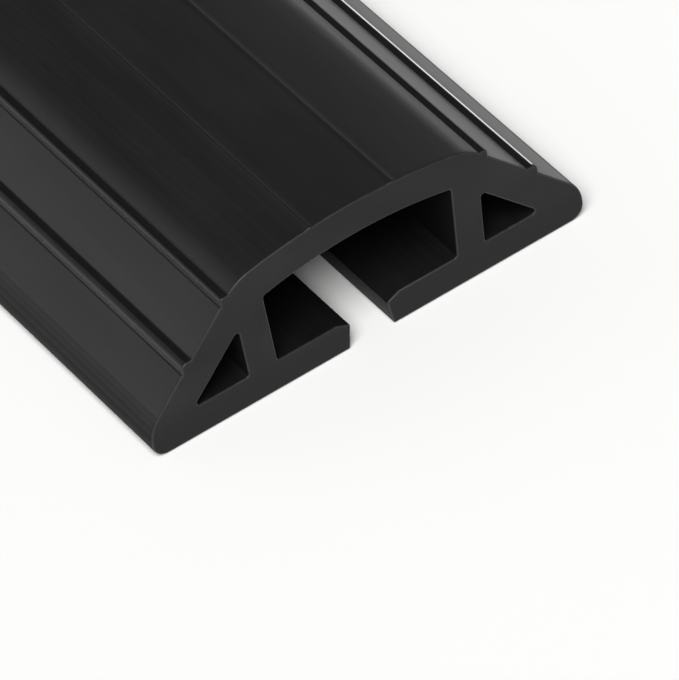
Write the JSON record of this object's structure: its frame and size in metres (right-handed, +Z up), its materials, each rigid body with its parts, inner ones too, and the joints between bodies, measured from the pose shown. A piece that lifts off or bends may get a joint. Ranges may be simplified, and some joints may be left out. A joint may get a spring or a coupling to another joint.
{
  "type": "floor cord cover",
  "caption": "Low domed floor cord cover, extruded in black flexible PVC, with a central cord channel slotted along its underside and a triangular channel on each side.",
  "frame": {"origin": "middle of the cover's length and width, on the floor that the underside lies on", "axes": "+Y along the cover's length, +X across its width, +Z up through the domed top"},
  "size_m": [0.102, 3.048, 0.035],
  "materials": {
    "black_pvc": "satin, as it leaves the extruder, with dull sawn ends"
  },
  "bodies": {
    "root": {"cord_cover": "black_pvc"}
  },
  "joints": []
}
